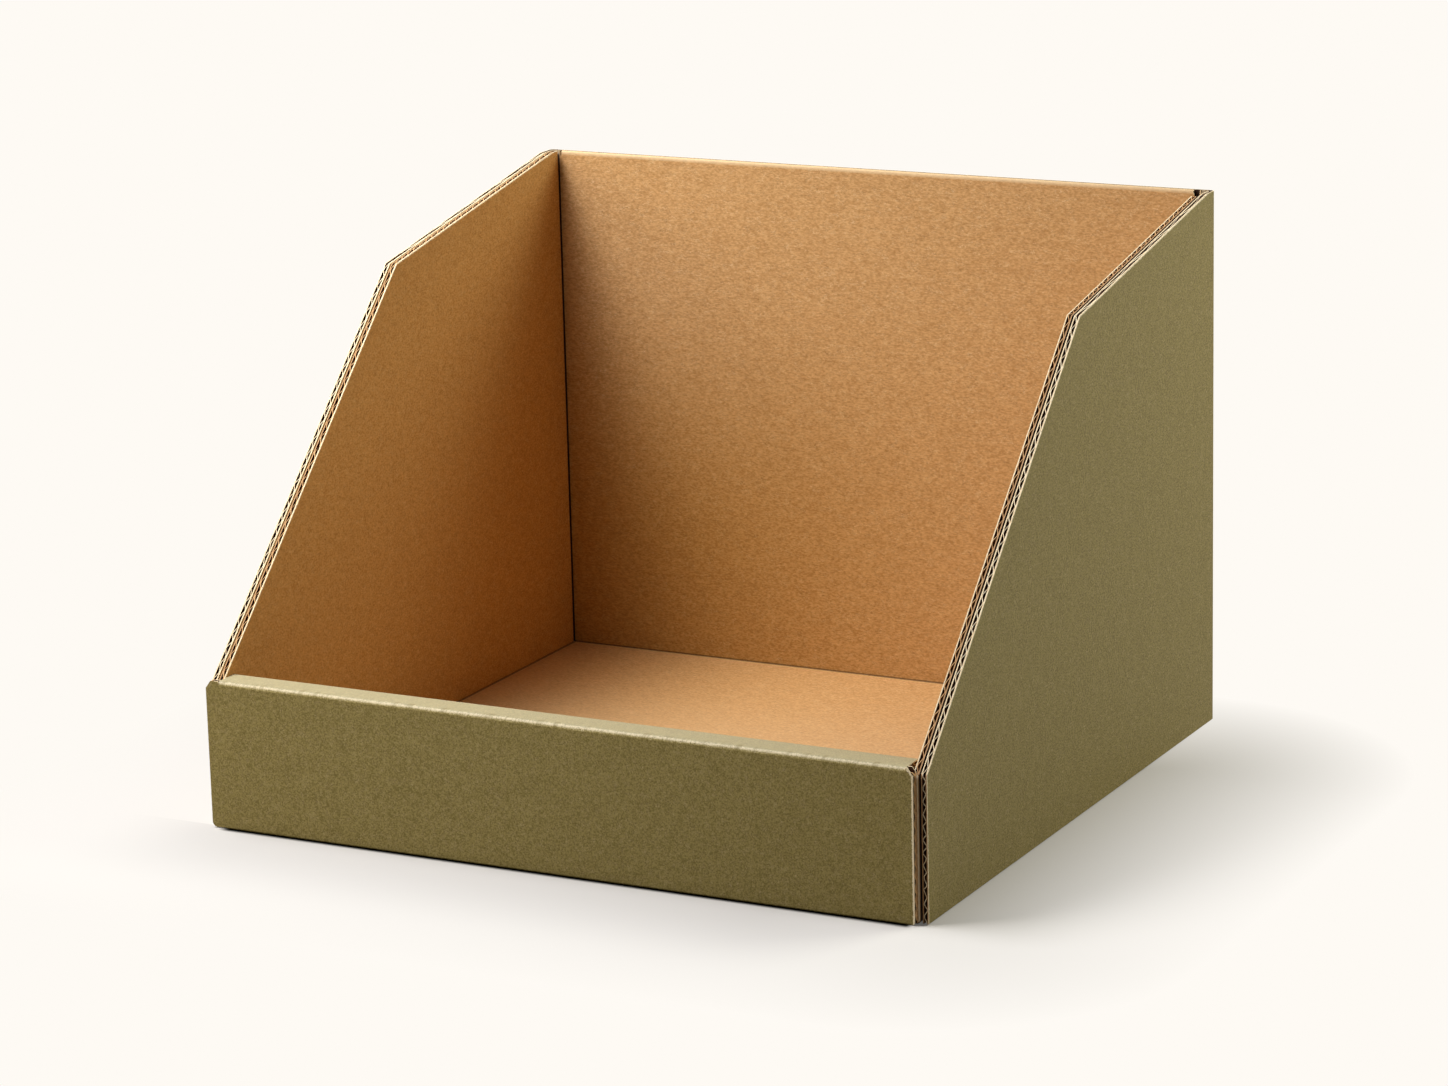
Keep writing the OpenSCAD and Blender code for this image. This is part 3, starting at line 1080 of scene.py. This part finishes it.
def kraft_layers(on):
    """Masks and colours over the bare inside: painted shade, painted light and sheen on the floor, a painted
    highlight with rubbing along the back's roll, and chipped paper along the walls.
    """
    tones = on.colours
    # Share of the painted light on the floor, growing towards the rear
    rear = on.ramp(on.y, -190 * MM, 140 * MM)
    return (
        # Painted shade, on the left wall and low on the back
        (painted_inner_shade(on), tones.kraft_painted_shade, "MULTIPLY"),
        # Painted light and sheen on the floor, towards the front
        (floor_towards(on, on.y, 190 * MM, -120 * MM, FLOOR_SHEEN), tones.kraft_painted_sheen),
        # Painted light added to the floor's shaded rear left
        (floor_towards(on, on.x, 160 * MM, -120 * MM, rear), tones.kraft_painted_light, "ADD"),
        # Painted shade along the floor's creases
        (crease_shade(on), tones.deep_shade),
        # Painted shade on the back behind the inner walls
        (shade_behind_walls(on), tones.deep_shade),
        # Painted highlight with rubbing along the back's top roll
        (back_roll_highlight_and_wear(on), tones.fibre_light),
        (wall_wear(on, BARE_CHIPS), tones.cut_light),
        # Painted shade on the faces in the gap between the wall boards
        (deep_shade_faces(on), tones.deep_shade),
        # Painted shade inside the lip's hollow
        (lip_hollow_shade(on), tones.deep_shade),
    )


def edge_layers(on):
    """Masks and colours over the liners' cut edges: painted shade on the upright edges and beside the gap."""
    return (shaded_upright_edges(on), on.colours.upright), (gap_edge_shade(on), on.colours.upright)


def flute_layers(on):
    """Masks and colours over the fluted paper, which is painted dark as the shade in its flutes: its light
    cut paper at the front's right end, and deeper painted shade behind the notches.
    """
    return (
        (past_print(on, 0), on.colours.inner_wave_light),
        (past_print(on, on.board.board / 2), on.colours.cut_light),
        # Painted shade on the paper behind the notches
        (notch_shade(on), on.colours.deep_shade),
    )


def web_layers(on):
    """Painted shade on the middle of the fluted paper in the inner walls' front edges."""
    middle = CAD_HIGH.x - 1.5 * on.board.board - on.board.ply_gap
    return ((on.ramp(on.across, middle + 0.5 * MM, middle), on.colours.deep_shade),)


def no_layers(_):
    """Nothing over a plain paper."""
    return ()


# Each paper's name, finish, dark and light tone, grain scale, share of light and dark fibres, and layers
PAPERS = (
    ("printed_green", PRINTED, ("print_dark", "print_light"), 1400, (0.22, 0.4), print_layers),
    ("bare_kraft", BARE, ("kraft_dark", "kraft_light"), 1250, (0.28, 0.3), kraft_layers),
    ("cut_edge", BARE, ("cut_dark", "cut_light"), 1500, (0.2, 0.1), edge_layers),
    # Fluted paper painted dark as the shade inside the flutes
    ("fluted_paper", BARE, ("flute_shade_dark", "flute_shade_light"), 900, (0.05, 0.2), flute_layers),
    # The inner boards' fluted paper, painted dark as the shade inside the flutes
    ("inner_flutes", BARE, ("inner_flute_shade_dark", "inner_flute_shade_light"), 900, (0.05, 0.2), no_layers),
    ("flute_edge", BARE, ("wave_dark", "wave_light"), 900, (0.2, 0.1), no_layers),
    ("inner_flute_edge", BARE, ("inner_wave_dark", "inner_wave_light"), 900, (0.2, 0.1), no_layers),
    # Fluted paper in the inner walls' front edges, with painted shade
    ("wall_web", BARE, ("web_shade", "web_shade"), 900, (0.1, 0.2), web_layers),
)


def make_paper(scene, name, finish, tones, scale, fibres, layers):
    """Makes the material of one paper."""
    on = Paper(scene, name, finish, scale)
    shown = on.mix(on.grain["Shade"], *(getattr(on.colours, tone) for tone in tones))
    for label, share, tone in zip(
        ("Light Fibres", "Dark Fibres"), fibres, (on.colours.fibre_light, on.colours.fibre_dark),
    ):
        shown = on.mix(on.product(on.grain[label], share), shown, tone)
    for mask, tone, *blend in layers(on):
        shown = on.mix(mask, shown, tone, *blend)
    on.finish(shown, finish)


def board_materials(scene):
    """The board's materials by name, made once."""
    if PAPERS[0][0] not in bpy.data.materials:
        for paper in PAPERS:
            make_paper(scene, *paper)
    return bpy.data.materials


# Stage

# Each light's name, power setting, place, size and tint
LIGHTS = (
    ("key_light", "key_power", (-0.45, -0.3, 1.0), (0.6, 0.35), (0.95, 1, 1.12)),
    ("front_light", "front_power", (-0.78, -0.76, 0.52), (0.5, 0.5), (1.03, 0.97, 0.8)),
    ("side_light", "side_power", (0.95, 0.8, 0.9), (0.65, 0.65), (0.97, 1.02, 0.98)),
)
# Where the lights look
LIGHT_TARGET = Vector((0, 0, 0.1))
# How far from the box the floor has faded into the background
FLOOR_FADE = 0.14


def seen_directly(nodes):
    """1 for what the camera sees, also in a reflection or through glass."""
    rays = nodes.add("ShaderNodeLightPath").outputs
    return nodes.largest(rays["Is Camera Ray"], rays["Is Glossy Ray"], rays["Is Transmission Ray"])


def painted_floor_shadow(nodes, place):
    """Mask of the painted contact shadow line and the painted soft shadow on the floor ahead of the box."""
    x, y, _ = nodes.axes(place)
    # Painted contact shadow line just ahead of the front's foot
    ahead = nodes.minus(CAD_LOW.y, y)
    line = nodes.product(
        nodes.ramp(x, CAD_LOW.x + 2 * MM, CAD_LOW.x + 10 * MM),
        nodes.ramp(x, CAD_HIGH.x - 6 * MM, CAD_HIGH.x - 10 * MM), nodes.ramp(ahead, 5 * MM, 0.5 * MM),
    )
    # Painted soft shadow further ahead of the front
    soft = nodes.product(
        nodes.ramp(x, CAD_LOW.x - 60 * MM, CAD_LOW.x + 40 * MM),
        nodes.ramp(x, CAD_HIGH.x, CAD_HIGH.x - 90 * MM), nodes.ramp(ahead, 100 * MM, 0), 0.2,
    )
    return nodes.product(nodes.largest(line, soft), nodes.ramp(ahead, -4 * MM, -3 * MM))


def studio_floor_material(studio):
    """Pale floor that keeps the box's shadow, with a painted contact shadow and soft shadow ahead of the
    front, and fades into the background further out.
    """
    material = bpy.data.materials.new("studio_floor")
    nodes = Nodes(emptied_tree(material))
    seen = seen_directly(nodes)
    open_colour = nodes.mix(seen, studio.bounce, studio.shaded)
    plain = nodes.add("ShaderNodeEmission", {"Color": (*studio.paper, 1), "Strength": 1})
    place = nodes.add("ShaderNodeTexCoord").outputs["Object"]
    middle = Vector((0, -0.05, 0))
    half = CAD_HIGH - middle
    half.y = middle.y - CAD_LOW.y
    past = nodes.vector("SUBTRACT", nodes.vector("ABSOLUTE", nodes.vector("SUBTRACT", place, middle)), half)
    reach = nodes.vector("LENGTH", nodes.vector("MAXIMUM", past), output="Value")
    # Painted shadow ahead of the box: black in the floor's colour, and kept from the background
    clear = nodes.minus(1, painted_floor_shadow(nodes, place))
    lit = nodes.add("ShaderNodeBsdfDiffuse", {"Color": nodes.mix(clear, (0, 0, 0), open_colour)})
    far = nodes.add(
        "ShaderNodeMapRange", {"Value": reach, "From Min": 0, "From Max": FLOOR_FADE, "To Min": 0.1},
    )
    share = nodes.product(far.outputs["Result"], seen, clear)
    shown = nodes.add(
        "ShaderNodeMixShader", {"Fac": share, 1: lit.outputs["BSDF"], 2: plain.outputs["Emission"]},
    )
    nodes.add("ShaderNodeOutputMaterial", {"Surface": shown.outputs["Shader"]})
    return material


def area_light(name, watts, place, size, tint):
    """A soft light of a size that looks at the box."""
    bpy.ops.object.select_all(action="DESELECT")
    bpy.ops.object.light_add(type="AREA", location=place)
    lamp = bpy.context.active_object
    lamp.name = name
    lamp.data.shape = "RECTANGLE"
    lamp.data.size, lamp.data.size_y = size
    lamp.data.energy = watts
    lamp.data.color = tint
    lamp.rotation_euler = (LIGHT_TARGET - Vector(place)).to_track_quat("-Z", "Y").to_euler()


def studio_world(studio):
    """Even light from all round that shows as the background colour."""
    world = bpy.data.worlds.new("studio")
    bpy.context.scene.world = world
    nodes = Nodes(emptied_tree(world))
    sky = nodes.add("ShaderNodeBackground", {"Color": (1, 1, 1, 1), "Strength": studio.sky})
    seen = nodes.add("ShaderNodeBackground", {"Color": (*studio.paper, 1), "Strength": 1})
    shown = nodes.add(
        "ShaderNodeMixShader",
        {"Fac": seen_directly(nodes), 1: sky.outputs["Background"], 2: seen.outputs["Background"]},
    )
    nodes.add("ShaderNodeOutputWorld", {"Surface": shown.outputs["Shader"]})


def studio_camera(studio):
    """The camera at the viewing angle, leaning a little."""
    az, el, roll = studio.azimuth, studio.elevation, studio.roll
    back = Vector((math.sin(az) * math.cos(el), -math.cos(az) * math.cos(el), math.sin(el)))
    right = Z.cross(back).normalized()
    up = back.cross(right)
    leaned_right = right * math.cos(roll) - up * math.sin(roll)
    leaned_up = up * math.cos(roll) + right * math.sin(roll)
    bpy.ops.object.camera_add(location=Vector(studio.target) + back * studio.distance)
    camera = bpy.context.active_object
    camera.name = "camera"
    camera.data.sensor_width = 36
    camera.data.lens = studio.lens
    camera.data.clip_end = 100
    camera.rotation_euler = Matrix((leaned_right, leaned_up, back)).transposed().to_euler()
    bpy.context.scene.camera = camera


# Operators

class DISPLAYBOX_OT_printed_liner(bpy.types.Operator):
    """Fold up the outer liner of the sheet, printed green."""

    bl_idname = "displaybox.printed_liner"
    bl_label = "Printed Liner"

    def execute(self, context):
        scene = context.scene
        make_liner("printed_liner", scene, 0, scene.board_sizes.fold, "printed_green", True)
        return {"FINISHED"}


class DISPLAYBOX_OT_bare_liner(bpy.types.Operator):
    """Fold up the inner liner of the sheet, bare kraft."""

    bl_idname = "displaybox.bare_liner"
    bl_label = "Bare Liner"

    def execute(self, context):
        scene = context.scene
        board = scene.board_sizes
        make_liner("bare_liner", scene, board.board, board.crease, "bare_kraft", False)
        return {"FINISHED"}


class DISPLAYBOX_OT_flutes(bpy.types.Operator):
    """Fill the board between its liners with fluted paper."""

    bl_idname = "displaybox.flutes"
    bl_label = "Flutes"

    def execute(self, context):
        scene = context.scene
        board = scene.board_sizes
        at = Places(scene, board.board / 2, board.fold - board.board / 2)
        for build, name, face, edge, thickness in (
            (wrap_flutes, "wrap_flutes", "fluted_paper", "flute_edge", board.medium),
            (tray_flutes, "tray_flutes", "inner_flutes", "inner_flute_edge", board.medium),
            (front_flutes, "front_flutes", "fluted_paper", "inner_flute_edge", board.front_medium),
        ):
            piece = build(name, scene, at)
            paint(piece, face, edge)
            thicken(piece, thickness, 0)
            close_piece(piece)
        webs = wall_webs("wall_webs", scene, at)
        paint(webs, "wall_web")
        close_piece(webs)
        return {"FINISHED"}


class DISPLAYBOX_OT_stage(bpy.types.Operator):
    """Set up the floor, the lights, the background and the camera."""

    bl_idname = "displaybox.stage"
    bl_label = "Stage"

    def execute(self, context):
        studio = context.scene.studio_settings
        size = (studio.floor_size, studio.floor_size, 1)
        floor = start("studio_floor", bpy.ops.mesh.primitive_plane_add, -FLOOR_DROP * Z, size)
        finish_edit()
        floor.data.materials.append(studio_floor_material(studio))
        for name, setting, *light in LIGHTS:
            area_light(name, getattr(studio, setting), *light)
        studio_world(studio)
        studio_camera(studio)
        context.scene.view_settings.view_transform = "Standard"
        return {"FINISHED"}


class DISPLAYBOX_PT_panel(bpy.types.Panel):
    """Lists the steps that dress the box."""

    bl_idname = "DISPLAYBOX_PT_panel"
    bl_label = "Display Box"
    bl_space_type = "VIEW_3D"
    bl_region_type = "UI"
    bl_category = "Display Box"

    def draw(self, context):
        for step in STEPS:
            self.layout.operator(step.bl_idname)


GROUPS = {
    "board_sizes": BoardSizes,
    "box_sizes": BoxSizes,
    "board_colours": BoardColours,
    "studio_settings": StudioSettings,
}
STEPS = (
    DISPLAYBOX_OT_printed_liner,
    DISPLAYBOX_OT_bare_liner,
    DISPLAYBOX_OT_flutes,
    DISPLAYBOX_OT_stage,
)


def register():
    """Registers the settings, the operators and the panel."""
    for name, group in GROUPS.items():
        bpy.utils.register_class(group)
        setattr(bpy.types.Scene, name, PointerProperty(type=group))
    for kind in (*STEPS, DISPLAYBOX_PT_panel):
        bpy.utils.register_class(kind)


def unregister():
    """Takes the panel, the operators and the settings away again."""
    for kind in (DISPLAYBOX_PT_panel, *reversed(STEPS)):
        bpy.utils.unregister_class(kind)
    for name, group in reversed(GROUPS.items()):
        delattr(bpy.types.Scene, name)
        bpy.utils.unregister_class(group)


def main():
    """Dresses the box step by step."""
    register()
    bpy.ops.displaybox.printed_liner()
    bpy.ops.displaybox.bare_liner()
    bpy.ops.displaybox.flutes()
    bpy.ops.displaybox.stage()


if __name__ == "__main__":
    main()
